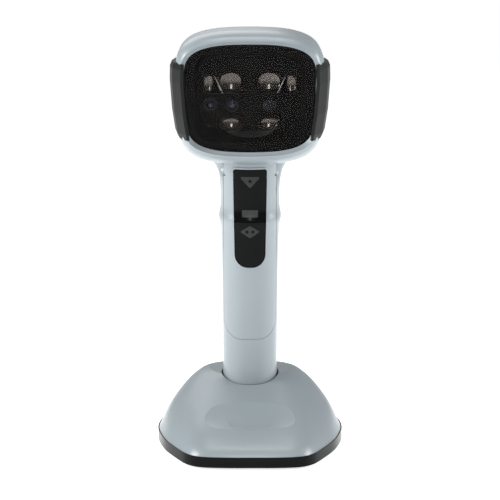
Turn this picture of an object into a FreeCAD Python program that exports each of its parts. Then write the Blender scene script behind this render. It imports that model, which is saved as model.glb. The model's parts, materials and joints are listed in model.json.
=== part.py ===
"""Presentation barcode imager on a weighted base, as a parametric document of separate pieces.

Millimetres. X is to the right, the scan window faces -Y, Z is up. The origin is under the middle of the
base. The head and the handle are drawn upright in a frame of their own, whose origin is the handle's
foot, and each of their pieces then takes the same placement, which leans it forward over the base.
"""
import FreeCAD, Part
import math
import os
import re
import Sketcher

Vector = FreeCAD.Vector

SIZES = {
    # the whole object
    "base_width": 98, "base_depth": 110, "lean_angle": 6, "foot_setback": 16, "foot_height": 8,
    # shells and fits
    "wall": 2.2, "fit_gap": 0.15, "moving_gap": 0.35, "shaft_gap": 0.05,
    # head
    "head_width": 73, "head_height": 68, "front_reach": 40, "rear_reach": 44, "seam_reach": 22,
    "rim_side": 4.2, "rim_top": 5.2, "rim_bottom": 9.8, "window_recess": 2.2, "window_thick": 1.8,
    "gasket_thick": 0.8, "gasket_width": 1.4, "bumper_height": 38, "bumper_reach": 3.4, "bumper_sink": 0.9,
    # handle
    "handle_length": 146, "handle_width": 28.6, "handle_front": 16, "handle_rear": 16.5,
    "cover_bottom": 49.8, "cover_drop": 1.8, "cover_inset": 0.7, "cover_corner": 8.5,
    # trigger panel, with drops measured down from the underside of the head
    "panel_width": 16.8, "panel_foot_width": 15.1, "panel_drop": 4.8, "panel_split": 32,
    "panel_length": 51.7, "panel_proud": 0.1, "rim_proud": 0.45, "panel_thick": 2.1,
    "hinge_drop": 8.6, "hinge_depth": 11.2, "hinge_radius": 1.7, "pin_radius": 0.75, "pin_length": 19,
    "status_width": 8.2, "status_height": 3.6, "status_drop": 27.8,
    # boards and switches
    "board_thick": 1.6, "handle_board_width": 20, "handle_board_length": 60, "handle_board_depth": 6,
    "handle_board_drop": 6, "switch_drop": 17, "switch_size": 6, "switch_thick": 3.4,
    "plunger_radius": 1.3, "plunger_out": 1.2, "spring_drop": 23.5, "spring_length": 7.6,
    "spring_radius": 2.2, "spring_wire": 0.5,
    "dome_radius": 3.2, "dome_tip": 1.8, "button_post_drop": 39, "post_radius": 2.6,
    # optics
    "chassis_width": 62, "chassis_height": 48, "chassis_depth": 9, "chassis_wall": 1.4, "hood_depth": 12,
    "lens_radius": 3.1, "lens_side": 9, "optics_drop": 6.5, "module_width": 27,
    "module_height": 13, "module_depth": 11, "ring_side": 20, "ring_radius": 3.4, "led_size": 3.2,
    "main_board_width": 46, "main_board_height": 42, "main_board_setback": 22, "shield_size": 20,
    "shield_height": 2.4, "beeper_radius": 6, "beeper_height": 5,
    # base
    "band_height": 5.4, "base_height": 34, "base_wall": 2.8, "scoop_setback": 35.5, "scoop_run": 17,
    "scoop_drop": 9.0, "scoop_slope": 21.5,
    "scoop_depth": 1.5, "scoop_width": 35.5, "scoop_foot_width": 18.8, "dish_width": 64,
    "dish_run": 23, "plate_thick": 3.0, "jack_lift": 0.3, "jack_setback": 6.9,
    "foot_pad_radius": 6, "foot_pad_thick": 1.2, "well_gap": 1.0, "socket_wall": 2.4, "socket_height": 17,
    "ballast_height": 9, "ballast_width": 60, "ballast_depth": 26, "ballast_setback": 23.5,
    "boss_radius": 3.4,
    "jack_width": 15.4, "jack_height": 13.2, "jack_depth": 12.2, "jack_mouth_width": 11.8,
    "jack_mouth_height": 6.8, "jack_mouth_depth": 10.6,
    # screws
    "screw_radius": 1.25, "screw_head_radius": 2.4, "screw_head": 1.8, "screw_length": 9,
}

document = FreeCAD.newDocument("PresentationImager")
sheet = document.addObject("Spreadsheet::Sheet", "Sizes")
for row, (alias, number) in enumerate(SIZES.items(), start=1):
    sheet.set(f"A{row}", alias)
    sheet.set(f"B{row}", str(number))
    sheet.setAlias(f"B{row}", alias)
document.recompute()

# sizes that follow from others, written once as formulas
FORMULAS = {
    "head_centre": "(handle_length + head_height / 2)",
    "window_width": "(head_width - 2 * rim_side)",
    "window_height": "(head_height - rim_top - rim_bottom)",
    "window_centre": "(head_centre + (rim_bottom - rim_top) / 2)",
    "window_back": "(window_recess + window_thick - front_reach)",
    "panel_top": "(handle_length - panel_drop)",
    "panel_split_height": "(handle_length - panel_split)",
    "panel_bottom": "(panel_top - panel_length)",
    "hinge_height": "(handle_length - hinge_drop)",
    "optics_height": "(window_centre - optics_drop)",
    "chassis_front": "(window_back + gasket_thick + hood_depth)",
    "chassis_back": "(chassis_front + chassis_depth)",
    "board_front": "(0 - handle_board_depth)",
    "board_back": "(board_front + board_thick)",
    "main_board_front": "(main_board_setback - seam_reach)",
    "main_board_back": "(main_board_front + board_thick)",
    "shell_bottom": "(foot_pad_thick + band_height)",
    "switch_height": "(handle_length - switch_drop)",
    "spring_height": "(handle_length - spring_drop)",
    "button_post_height": "(handle_length - button_post_drop)",
    "plate_top": "(foot_pad_thick + plate_thick)",
    "jack_floor": "(plate_top + jack_lift)",
    "jack_face": "(base_depth / 2 - jack_setback)",
}


def formula(text):
    """Write a formula out in terms of the sheet's cells."""
    text = str(text)
    while any(re.search(rf"\b{word}\b", text) for word in FORMULAS):
        for word, meaning in FORMULAS.items():
            text = re.sub(rf"\b{word}\b", meaning, text)
    return re.sub(r"\b[a-z][a-z_]*\b", lambda word: "Sizes." + word[0] if word[0] in SIZES else word[0],
                  text)


def size(text):
    """The value of a formula, in millimetres or degrees."""
    return float(sheet.evalExpression(formula(text)))


# ---------------------------------------------------------------- document objects bound to the sheet

def add(kind, name, **links):
    """A document object with its links set."""
    thing = document.addObject(kind, name)
    for link, value in links.items():
        setattr(thing, link, value)
    return thing


def place(thing, at, turn=None):
    """Bind a placement to the sheet; turn is an axis and an angle in degrees."""
    for axis, text in zip("xyz", at):
        thing.setExpression(f"Placement.Base.{axis}", f"({formula(text)}) * 1 mm")
    if turn:
        axis, angle = turn
        thing.setExpression("Placement.Rotation.Axis.x", "1" if axis == "x" else "0")
        thing.setExpression("Placement.Rotation.Axis.y", "1" if axis == "y" else "0")
        thing.setExpression("Placement.Rotation.Axis.z", "1" if axis == "z" else "0")
        thing.setExpression("Placement.Rotation.Angle", f"({formula(angle)}) * 1 deg")
    return thing


def box(name, across, deep, tall, at):
    """A box centred on at in X and Y and standing on it in Z."""
    block = add("Part::Box", name)
    block.setExpression("Length", f"({formula(across)}) * 1 mm")
    block.setExpression("Width", f"({formula(deep)}) * 1 mm")
    block.setExpression("Height", f"({formula(tall)}) * 1 mm")
    x, y, z = at
    return place(block, (f"{x} - ({across}) / 2", f"{y} - ({deep}) / 2", z))


TURNS = {"up": None, "down": ("x", "180"), "front": ("x", "90"), "rear": ("x", "-90"), "right": ("y", "90")}


def cylinder(name, radius, length, at, heading="up"):
    """A cylinder that starts at a point and runs up, down, to the front, to the rear or to the right."""
    rod = add("Part::Cylinder", name)
    rod.setExpression("Radius", f"({formula(radius)}) * 1 mm")
    rod.setExpression("Height", f"({formula(length)}) * 1 mm")
    return place(rod, at, TURNS[heading])


def cone(name, start_radius, end_radius, length, at, heading="up"):
    """A cone frustum that starts at a point and runs in a heading."""
    taper = add("Part::Cone", name)
    taper.setExpression("Radius1", f"({formula(start_radius)}) * 1 mm")
    taper.setExpression("Radius2", f"({formula(end_radius)}) * 1 mm")
    taper.setExpression("Height", f"({formula(length)}) * 1 mm")
    return place(taper, at, TURNS[heading])


def join(name, shapes):
    return add("Part::MultiFuse", name, Shapes=shapes)


def cut(name, base, tools):
    tool = tools[0] if len(tools) == 1 else add("Part::Compound", name + "_tools", Links=tools)
    return add("Part::Cut", name, Base=base, Tool=tool)


def common(name, base, tool):
    return add("Part::Common", name, Base=base, Tool=tool)


def solid(name, shape):
    """A freeform shape, computed by this script from the sheet's values."""
    thing = document.addObject("Part::Feature", name)
    thing.Shape = shape
    return thing


nodes = {}


def node(name, thing, leaning=True):
    """Register a finished piece; those of the head and handle lean forward with the handle."""
    holder = thing
    if thing.TypeId in ("Part::Box", "Part::Cylinder",
                        "Part::Cone") or "Placement" in dict(thing.ExpressionEngine):
        holder = add("Part::Compound", name + "_piece", Links=[thing])
    if leaning:
        place(holder, ("0", "foot_setback", "foot_height"), ("x", "lean_angle"))
    holder.Label = name
    nodes[name] = holder
    return holder


# ---------------------------------------------------------------- freeform sections

def superellipse(centre, across, up, half_width, low, high, powers, taper=0.0, count=32):
    """A closed smooth wire: half_width each way, low and high along up, wider at the top by taper.

    The first power rounds it across and the second rounds it along up."""
    points = []
    for step in range(count):
        angle = 2 * math.pi * (step + 0.5) / count
        side = math.copysign(abs(math.cos(angle)) ** (2 / powers[0]), math.cos(angle))
        rise = math.copysign(abs(math.sin(angle)) ** (2 / powers[1]), math.sin(angle))
        reach = high if rise > 0 else low
        points.append(centre + across * (side * half_width * (1 + taper * rise)) + up * (rise * reach))
    curve = Part.BSplineCurve()
    curve.interpolate(points, PeriodicFlag=True)
    return Part.Wire([curve.toShape()])


def loft(wires):
    """A smooth solid through the wires; a low degree keeps it from swinging between them."""
    return Part.makeLoft(wires, True, False, False, LOFT_DEGREE)


RIGHT = Vector(1, 0, 0)
UP = Vector(0, 0, 1)
REAR = Vector(0, 1, 0)

LOFT_DEGREE = 2
HEAD_POWERS = (2.7, 5.4)
HEAD_TAPER = 0.035
HANDLE_POWERS = (2.35, 2.35)


def head_ring(depth, half_width, half_height, height, taper=HEAD_TAPER):
    """A cross-section of the head, standing upright at a depth."""
    return superellipse(Vector(0, depth, height), RIGHT, UP, half_width, half_height, half_height,
                        HEAD_POWERS, taper)


def handle_ring(height, half_width, front, rear, powers=HANDLE_POWERS):
    """A cross-section of the handle, lying level at a height."""
    return superellipse(Vector(0, 0, height), RIGHT, REAR, half_width, front, rear, powers)


head_half = size("head_width / 2")
head_tall = size("head_height / 2")
head_centre = size("head_centre")
window_centre = size("window_centre")
window_half = size("window_width / 2")
window_tall = size("window_height / 2")
front = -size("front_reach")
seam = -size("seam_reach")
rear = size("rear_reach")

# insets of the bezel from the head's largest section: share of the way from the seam to the front lip,
# side inset, height inset
BEZEL_RINGS = [(-0.06, 0.0, 0.0), (0.25, 0.0, 0.1), (0.5, 0.1, 0.6), (0.72, 0.6, 1.7), (0.88, 1.3, 3.2),
               (1.0, 2.3, 5.6)]
# the same for the rear housing, as a share of the way from the seam to the rear
HOUSING_RINGS = [(0.0, 0.0, 0.0), (0.18, 0.1, 0.6), (0.36, 0.6, 2.0), (0.55, 2.2, 4.8), (0.72, 5.6, 8.6),
                 (0.86, 11.0, 13.6), (0.95, 17.0, 19.5), (1.0, 23.0, 25.0)]


def bezel_form(shrink, start, end):
    """The bezel's outer form, or the hollow inside it, between two depths."""
    span = front - seam
    rings = []
    for share, side, rise in BEZEL_RINGS:
        height = head_centre + (window_centre - head_centre) * max(share, 0)
        rings.append(head_ring(seam + share * span, head_half - side - shrink, head_tall - rise - shrink,
                               height))
    form = loft(rings)
    slab = Part.makeBox(400, end - start, 400, Vector(-200, start, -50))
    return form.common(slab)


def housing_form(shrink):
    """The rear half of the head, or the hollow inside it."""
    span = rear - seam - shrink
    rings = []
    for share, side, rise in HOUSING_RINGS:
        if shrink:
            start = seam - 1.0 if share == 0 else seam + share * span
        else:
            start = seam + share * span
        rings.append(head_ring(start, head_half - side - shrink, head_tall - rise - shrink,
                               head_centre - share))
    return loft(rings)


# the handle's profile: drop below the head, extra half width, extra front, extra rear
HANDLE_RINGS = [(88, 0.15, 0.2, 0.4), (56, 0.5, 0.6, 0.9), (41, 0.85, 1.0, 1.1), (36.5, 1.25, 1.5, 1.2),
                (32.5, 1.95, 2.4, 1.3), (28.5, 1.3, 1.3, 1.4), (24, 1.0, 0.7, 1.5), (14, 1.4, 0.7, 1.7),
                (7, 2.2, 1.0, 2.2), (-1, 3.0, 1.4, 3.0)]
# the neck above it, a flare that carries the head and stands back behind the front cover
NECK_RINGS = [(7, 3.0, -7.5, 2.8), (1, 7.0, -6.5, 5.2), (-6, 11.0, -5.0, 7.0), (-16, 14.0, -3.5, 8.0)]


def handle_form(grow, bottom=0.0, top=None):
    """The handle's outer form grown or shrunk all round, between two heights."""
    length = size("handle_length")
    half = size("handle_width / 2")
    fore = size("handle_front")
    aft = size("handle_rear")
    rings = [handle_ring(bottom, half + grow, fore + grow, aft + grow)]
    for drop, wide, ahead, behind in HANDLE_RINGS:
        rings.append(handle_ring(length - drop, half + wide + grow, fore + ahead + grow,
                                 aft + behind + grow))
    form = loft(rings)
    if top is not None:
        form = form.common(Part.makeBox(200, 200, top - bottom, Vector(-100, -100, bottom)))
    return form


def stem_form(grow, bottom=0.0):
    """The handle with the flare above it that carries the head."""
    length = size("handle_length")
    half = size("handle_width / 2")
    fore = size("handle_front")
    aft = size("handle_rear")
    rings = [handle_ring(bottom, half + grow, fore + grow, aft + grow)]
    for drop, wide, ahead, behind in HANDLE_RINGS[:-2] + NECK_RINGS:
        rings.append(handle_ring(length - drop, half + wide + grow, fore + ahead + grow,
                                 aft + behind + grow))
    return loft(rings)


def front_prism(face, start, end):
    """A prism of an upright face from one depth to another."""
    face.translate(Vector(0, start, 0))
    return face.extrude(Vector(0, end - start, 0))


def rounded_outline(half_top, half_bottom, top, bottom, top_round, bottom_round):
    """An upright face at depth zero, its corners rounded with arcs."""
    corners = [(half_bottom, bottom, bottom_round), (half_top, top, top_round), (-half_top, top, top_round),
               (-half_bottom, bottom, bottom_round)]
    edges = []
    ends = []
    for index, (x, z, radius) in enumerate(corners):
        here = Vector(x, 0, z)
        before = Vector(corners[index - 1][0], 0, corners[index - 1][1])
        after_corner = corners[(index + 1) % 4]
        after = Vector(after_corner[0], 0, after_corner[1])
        to_before = (before - here).normalize()
        to_after = (after - here).normalize()
        half_angle = to_before.getAngle(to_after) / 2
        reach = radius / math.tan(half_angle)
        middle = here + (to_before + to_after).normalize() * (radius / math.sin(half_angle) - radius)
        ends.append((here + to_before * reach, middle, here + to_after * reach))
    for index, (start, middle, finish) in enumerate(ends):
        edges.append(Part.Arc(start, middle, finish).toShape())
        following = ends[(index + 1) % 4][0]
        if (following - finish).Length > 1e-6:
            edges.append(Part.LineSegment(finish, following).toShape())
    return Part.Face(Part.Wire(edges))


def panel_outline(grow, top, bottom, foot_round, top_round):
    """The trigger panel's outline between two heights, grown all round."""
    panel_top = size("panel_top")
    panel_bottom = size("panel_bottom")
    half_top = size("panel_width / 2")
    half_foot = size("panel_foot_width / 2")

    def half(height):
        share = (height - panel_bottom) / (panel_top - panel_bottom)
        return half_foot + (half_top - half_foot) * share + grow

    return rounded_outline(half(top), half(bottom), top + grow, bottom - grow, top_round + max(grow, 0),
                           foot_round + max(grow, 0))


def handle_skin(outer, inner, outline, bottom=20.0):
    """The part of the handle's wall, between two offsets of its surface, that lies in an outline."""
    skin = handle_form(outer, bottom).cut(handle_form(inner, bottom - 1))
    return skin.common(front_prism(outline, -60, -1.0))


# ---------------------------------------------------------------- head

def screw(name, at, heading, length="screw_length"):
    """A pan-head screw: the head starts at a point, and the shank runs on in the heading."""
    x, y, z = at
    shift = {"up": (0, 0, 1), "down": (0, 0, -1), "front": (0, -1, 0), "rear": (0, 1, 0)}[heading]
    under_head = tuple(f"{part} + {step} * screw_head" for part, step in zip(at, shift))
    top = cylinder(name + "_head", "screw_head_radius", "screw_head", at, heading)
    shank = cylinder(name + "_shank", "screw_radius", length, under_head, heading)
    return join(name, [top, shank])


def plate(name, across, tall, thick, at, plane="XZ_Plane", holes=(), windows=()):
    """A board or plate as a padded sketch: centred on at, its front face at at's depth."""
    body = document.addObject("PartDesign::Body", name)
    sketch = body.newObject("Sketcher::SketchObject", name + "_outline")
    planes = {feature.Role: feature for feature in body.Origin.OriginFeatures}
    sketch.AttachmentSupport = (planes[plane], [""])
    sketch.MapMode = "FlatFace"
    x, y, z = at
    rectangles = [(across, tall, "0", "0")] + list(windows)
    for index, (wide, high, shift_x, shift_z) in enumerate(rectangles):
        left = size(f"{shift_x} - ({wide}) / 2")
        right = size(f"{shift_x} + ({wide}) / 2")
        low = size(f"{z} + {shift_z} - ({high}) / 2")
        top = size(f"{z} + {shift_z} + ({high}) / 2")
        corners = [Vector(left, low, 0), Vector(right, low, 0), Vector(right, top, 0), Vector(left, top, 0)]
        first = sketch.GeometryCount
        for corner in range(4):
            sketch.addGeometry(Part.LineSegment(corners[corner], corners[(corner + 1) % 4]))
        for corner in range(4):
            sketch.addConstraint(Sketcher.Constraint("Coincident", first + corner, 2,
                                                     first + (corner + 1) % 4, 1))
        for corner in (0, 2):
            sketch.addConstraint(Sketcher.Constraint("Horizontal", first + corner))
            sketch.addConstraint(Sketcher.Constraint("Vertical", first + corner + 1))
        bounds = [("DistanceX", 1, left, f"{shift_x} - ({wide}) / 2"),
                  ("DistanceY", 1, low, f"{z} + {shift_z} - ({high}) / 2"),
                  ("DistanceX", 2, right, f"{shift_x} + ({wide}) / 2"), ("DistanceY", 3, top,
                                                                         f"{z} + {shift_z} + ({high}) / 2")]
        for number, (kind, point, value, text) in enumerate(bounds):
            owner = {1: first, 2: first, 3: first + 2}[point]
            end = {1: 1, 2: 2, 3: 1}[point]
            made = sketch.addConstraint(Sketcher.Constraint(kind, -1, 1, owner, end, value))
            sketch.setExpression(f"Constraints[{made}]", f"({formula(text)}) * 1 mm")
    for radius, hole_x, hole_z in holes:
        centre = Vector(size(hole_x), size(hole_z), 0)
        made = sketch.addGeometry(Part.Circle(centre, Vector(0, 0, 1), size(radius)))
        for kind, value, text in (("Radius", None, radius), ("DistanceX", centre.x, hole_x),
                                  ("DistanceY", centre.y, hole_z)):
            if kind == "Radius":
                rule = sketch.addConstraint(Sketcher.Constraint("Radius", made, size(radius)))
            else:
                rule = sketch.addConstraint(Sketcher.Constraint(kind, -1, 1, made, 3, value))
            sketch.setExpression(f"Constraints[{rule}]", f"({formula(text)}) * 1 mm")
    pad = body.newObject("PartDesign::Pad", name + "_pad")
    pad.Profile = sketch
    pad.Reversed = True
    pad.setExpression("Length", f"({formula(thick)}) * 1 mm")
    holder = document.addObject("Part::Compound", name + "_set")
    place(body, ("0", y, "0"))
    holder.Links = [body]
    return holder


CORNERS = [(-1, -1), (1, -1), (-1, 1), (1, 1)]
chassis_posts = [(f"{side} * (chassis_width / 2 - 4)",
                  f"window_centre + {rise} * (chassis_height / 2 - 2.2)")
                 for side, rise in CORNERS]
led_spots = [("-9.3", "4.7"), ("9.3", "4.7"), ("-9.3", "-15.6"), ("9.3", "-15.6"), ("-19.4", "3.4"),
             ("19.4", "3.4")]


def build_bezel():
    wall = size("wall")
    seat = size("window_recess") + front
    form = bezel_form(0, front, seam)
    hollow = bezel_form(wall, seat, seam + 5)
    lip = size("rim_side") - 2.3 - 0.3
    opening = loft([
        head_ring(front - 1.0, window_half + lip + 0.6, window_tall + 2.6, window_centre, 0.03),
        head_ring(front + 0.4, window_half + lip * 0.7, window_tall + 1.9, window_centre, 0.03),
        head_ring(seat + 0.6, window_half - 0.4, window_tall - 0.2, window_centre, 0.03),
    ])
    ring = form.cut(hollow).cut(opening)
    for side in (-1, 1):
        ring = ring.cut(bumper_pocket(side))
    ring = solid("bezel_ring", max(ring.Solids, key=lambda piece: piece.Volume))
    outside = solid("bezel_mid_wall", bezel_form(wall / 2, seat, seam + 0.5))
    posts = []
    holes = []
    for index, (side, rise) in enumerate(chassis_posts):
        run = "hood_depth - 2.5"
        post = cylinder(f"bezel_post_{index}", "post_radius", run, (side, "chassis_front - 0.2", rise),
                        "front")
        posts.append(common(f"bezel_post_{index}_trimmed", post, outside))
        reach = f"{CORNERS[index][0]} * (head_width / 2 - 5)"
        rib = box(f"bezel_rib_{index}", "9", run, "2",
                  (reach, f"chassis_front - 0.2 - ({run}) / 2", f"{rise} - 1"))
        posts.append(common(f"bezel_rib_{index}_trimmed", rib, outside))
        holes.append(cylinder(f"bezel_post_hole_{index}", "screw_radius + shaft_gap", "screw_length",
                              (side, "chassis_front", rise), "front"))
    node("head_bezel", cut("bezel", join("bezel_with_posts", [ring] + posts), holes))


def build_window():
    wall = size("wall")
    seat = size("window_recess") + front
    gap = size("fit_gap")
    half = head_half - wall - 1.3 - gap - 0.35
    tall = head_tall - wall - 3.2 - gap - 0.35
    thick = size("window_thick")
    pane = loft([head_ring(seat + gap, half - 0.6, tall - 0.6, window_centre),
                 head_ring(seat + thick, half, tall, window_centre)])
    node("scan_window", solid("window_pane", pane))
    back = size("window_back")
    seal = size("gasket_thick")
    width = size("gasket_width")
    outer = loft([head_ring(back, half - 0.8, tall - 0.8, window_centre),
                  head_ring(back + seal, half - 0.8, tall - 0.8, window_centre)])
    inner = loft([head_ring(back - 1, half - 0.8 - width, tall - 0.8 - width, window_centre),
                  head_ring(back + seal + 1, half - 0.8 - width, tall - 0.8 - width, window_centre)])
    node("window_gasket", solid("gasket_ring", outer.cut(inner)))


def build_chassis():
    back = size("window_back + gasket_thick")
    face = size("chassis_front")
    half = size("chassis_width / 2")
    tall = size("chassis_height / 2")
    thin = size("chassis_wall")
    rear_face = size("chassis_back")
    hood = loft([head_ring(back, half, tall + 2, window_centre),
                 head_ring(face, half - 4, tall - 3, window_centre)])
    inside = loft([head_ring(back - 0.5, half - thin, tall + 2 - thin, window_centre),
                   head_ring(face + 0.01, half - 4 - thin, tall - 3 - thin, window_centre)])
    block = loft([head_ring(face, half - 4, tall - 3, window_centre),
                  head_ring(rear_face, half - 4, tall - 3, window_centre)])
    flange = loft([superellipse(Vector(0, depth, window_centre), RIGHT, UP, half, tall + 3, tall + 3,
                                (6, 6))
                   for depth in (face, face + 2.4)])
    for side in (-1, 1):
        for rise in (-1, 1):
            ear = Part.makeCylinder(size("post_radius") + 1.2, 2.4,
                                    Vector(side * (half - 4), face, window_centre + rise * (tall - 2.2)),
                                    REAR)
            flange = flange.fuse(ear)
    room = loft([head_ring(depth, head_half - size("wall") - 0.5, head_tall - size("wall") - 0.5,
                           head_centre)
                 for depth in (face - 1, face + 4)])
    shell = solid("chassis_shell", hood.cut(inside).fuse(block).fuse(flange.common(room)))
    cuts = []
    for index, (side, rise) in enumerate(chassis_posts):
        cuts.append(cylinder(f"post_notch_{index}", "post_radius + moving_gap", "20",
                             (side, "chassis_front", rise), "front"))
        cuts.append(cylinder(f"ear_hole_{index}", "screw_radius + fit_gap", "6",
                             (side, "chassis_front - 1", rise), "rear"))
    cuts.append(box("upper_pocket", "46 + 2 * fit_gap", "5.2", "12 + 2 * fit_gap",
                    ("0", "chassis_front + 2.6", "window_centre - 0.2 - fit_gap")))
    cuts.append(box("lower_pocket", "33 + 2 * fit_gap", "5.2", "10 + 2 * fit_gap",
                    ("0", "chassis_front + 2.6", "window_centre - 20 - fit_gap")))
    for index, (side, rise) in enumerate(led_spots):
        cuts.append(box(f"led_way_{index}", "led_size + 1.4", "12", "led_size + 1.4",
                        (side, "chassis_back", f"window_centre + {rise} - led_size / 2 - 0.7")))
    cuts.append(cylinder("lens_way", "lens_radius + fit_gap", "chassis_depth + 2",
                         ("0 - lens_side", "chassis_front - 1", "optics_height"), "rear"))
    cuts.append(cylinder("aimer_way", "lens_radius + fit_gap", "chassis_depth + 2",
                         ("lens_side + 0.8", "chassis_front - 1", "optics_height"), "rear"))
    cuts.append(cylinder("sensor_way", "ring_radius + fit_gap", "3",
                         ("0 - ring_side", "chassis_front - 1", "optics_height + 0.5"), "rear"))
    node("optics_chassis", cut("chassis", shell, cuts))

    upper = box("upper_block", "46", "5", "12", ("0", "chassis_front + 2.6", "window_centre - 0.2"))
    coves = []
    for index, side in enumerate(("-9.3", "9.3")):
        coves.append(cylinder(f"upper_cove_{index}", "8", "20",
                              (side, "chassis_front - 3.6", "window_centre - 5")))
        coves.append(cylinder(f"upper_led_hole_{index}", "2.4", "9",
                              (side, "chassis_front", "window_centre + 4.7"), "rear"))
    for index, side in enumerate(("-19.4", "19.4")):
        coves.append(cylinder(f"outer_cove_{index}", "5", "20",
                              (side, "chassis_front - 1.6", "window_centre - 5")))
        coves.append(cylinder(f"outer_led_hole_{index}", "1.9", "9",
                              (side, "chassis_front", "window_centre + 3.4"), "rear"))
    node("upper_reflector", cut("upper_tray", upper, coves))
    lower = box("lower_block", "33", "5", "10", ("0", "chassis_front + 2.6", "window_centre - 20"))
    cups = []
    for index, side in enumerate(("-9.3", "9.3")):
        cups.append(cylinder(f"lower_cup_{index}", "6.6", "20",
                             (side, "chassis_front - 2", "window_centre - 24")))
        cups.append(cylinder(f"lower_led_hole_{index}", "2.4", "9",
                             (side, "chassis_front", "window_centre - 15.6"), "rear"))
    node("lower_reflector", cut("lower_tray", lower, cups))


def build_optics():
    back = "chassis_back + fit_gap"
    windows = [("module_width + 1", "module_height + 1", "0", "0 - optics_drop")]
    board = plate("lamp_board", "48", "36", "board_thick", ("0", back, "window_centre"), windows=windows)
    node("illumination_board", board)
    leds = []
    for index, (side, rise) in enumerate(led_spots):
        leds.append(box(f"led_{index}", "led_size", "1.6", "led_size",
                        (side, f"{back} - 0.8", f"window_centre + {rise} - led_size / 2")))
    node("illumination_leds", add("Part::Compound", "led_group", Links=leds))
    module = box("module_case", "module_width", "module_depth", "module_height",
                 ("0", f"{back} + module_depth / 2", "optics_height - module_height / 2"))
    node("imager_module", module)
    barrel = cylinder("lens_barrel_tube", "lens_radius", "chassis_depth - 1.5",
                      ("0 - lens_side", back, "optics_height"), "front")
    sink = cone("lens_barrel_mouth", "2.3", "1.2", "2",
                ("0 - lens_side", f"{back} - chassis_depth + 1.4", "optics_height"), "rear")
    node("lens_barrel", cut("lens_barrel_bored", barrel, [sink]))
    aimer = cylinder("aimer_body", "lens_radius", "chassis_depth - 2",
                     ("lens_side + 0.8", back, "optics_height"), "front")
    ribs = []
    for index in range(-2, 3):
        ribs.append(box(f"aimer_rib_{index + 2}", "0.4", "1.2", "8",
                        (f"lens_side + 0.8 + {index} * 1.1", f"{back} - chassis_depth + 2",
                         "optics_height - 4")))
    node("aimer_lens", cut("aimer_ribbed", aimer, ribs))
    ring = cylinder("sensor_body", "ring_radius", "2.4",
                    ("0 - ring_side", "chassis_front - 0.6", "optics_height + 0.5"), "rear")
    bowl = cylinder("sensor_bowl", "ring_radius - 1", "1.2",
                    ("0 - ring_side", "chassis_front - 0.7", "optics_height + 0.5"), "rear")
    node("presence_sensor", cut("sensor_ring", ring, [bowl]))
    screws = [screw(f"chassis_screw_{index}", (side, "chassis_front + 2.4 + screw_head", rise), "front",
                    "8")
              for index, (side, rise) in enumerate(chassis_posts)]
    node("chassis_screws", add("Part::Compound", "chassis_screw_group", Links=screws))


def build_main_board():
    holes = [("screw_radius + fit_gap", f"{side} * (main_board_width / 2 - 4)",
              f"head_centre + {rise} * (main_board_height / 2 - 4)") for side, rise in CORNERS]
    board = plate("logic_board", "main_board_width", "main_board_height", "board_thick",
                  ("0", "main_board_front", "head_centre"), holes=holes)
    node("main_board", board)
    node("shield_can", box("shield_lid", "shield_size", "shield_height", "shield_size",
                           ("0 - 4", "main_board_back + shield_height / 2",
                            "head_centre - shield_size / 2 + 4")))
    node("beeper", cylinder("beeper_can", "beeper_radius", "beeper_height",
                            ("13", "main_board_back", "head_centre - 9"), "rear"))
    screws = [screw(f"board_screw_{index}",
                    (f"{side} * (main_board_width / 2 - 4)", "main_board_front - screw_head",
                     f"head_centre + {rise} * (main_board_height / 2 - 4)"), "rear", "7")
              for index, (side, rise) in enumerate(CORNERS)]
    for index, drop in enumerate(("10", "54")):
        screws.append(screw(f"handle_board_screw_{index}",
                            ("6", "board_front - screw_head", f"handle_length - {drop}"), "rear", "7"))
    node("board_screws", add("Part::Compound", "board_screw_group", Links=screws))


def build_rear_housing():
    wall = size("wall")
    length = size("handle_length")
    outside = housing_form(0).fuse(stem_form(0))
    hollow = housing_form(wall).fuse(stem_form(-wall, 3.0))
    gap = size("fit_gap")
    cover = cover_outline(gap)
    shell = outside.cut(hollow).cut(front_prism(cover, -60, -1.0 + gap))
    for side in (-1, 1):
        shell = shell.cut(bumper_pocket(side))
    skin = solid("housing_shell", shell)
    envelope = solid("housing_mid_wall", housing_form(wall / 2).fuse(stem_form(-wall / 2)))
    posts = []
    holes = []
    for index, (side, rise) in enumerate(CORNERS):
        at = (f"{side} * (main_board_width / 2 - 4)", "main_board_back",
              f"head_centre + {rise} * (main_board_height / 2 - 4)")
        posts.append(common(f"board_post_{index}",
                            cylinder(f"board_post_bar_{index}", "post_radius", "60", at, "rear"), envelope))
        holes.append(cylinder(f"board_post_hole_{index}", "screw_radius + shaft_gap", "7", at, "rear"))
    for index, drop in enumerate(("10", "54")):
        at = ("6", "board_back", f"handle_length - {drop}")
        posts.append(common(f"handle_post_{index}",
                            cylinder(f"handle_post_bar_{index}", "post_radius", "60", at, "rear"),
                            envelope))
        holes.append(cylinder(f"handle_post_hole_{index}", "screw_radius + shaft_gap", "7", at, "rear"))
    for index, rise in enumerate(("58", "73")):
        at = ("0", "5.2", rise)
        posts.append(common(f"cover_boss_{index}",
                            cylinder(f"cover_boss_bar_{index}", "post_radius + 1.2", "60", at, "rear"),
                            envelope))
        holes.append(cylinder(f"cover_screw_way_{index}", "screw_radius + fit_gap", "60", at, "rear"))
        holes.append(cylinder(f"cover_screw_sink_{index}", "screw_head_radius + fit_gap", "30",
                              ("0", "9", rise), "rear"))
    node("rear_housing", cut("rear_housing_drilled", join("housing_with_posts", [skin] + posts), holes))


def cover_outline(grow):
    half = size("handle_width / 2 - cover_inset") + grow
    top = size("handle_length - cover_drop") + grow
    bottom = size("cover_bottom") - grow
    corner = size("cover_corner") + grow
    return rounded_outline(half, half, top, bottom, 2.0, corner)


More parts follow.
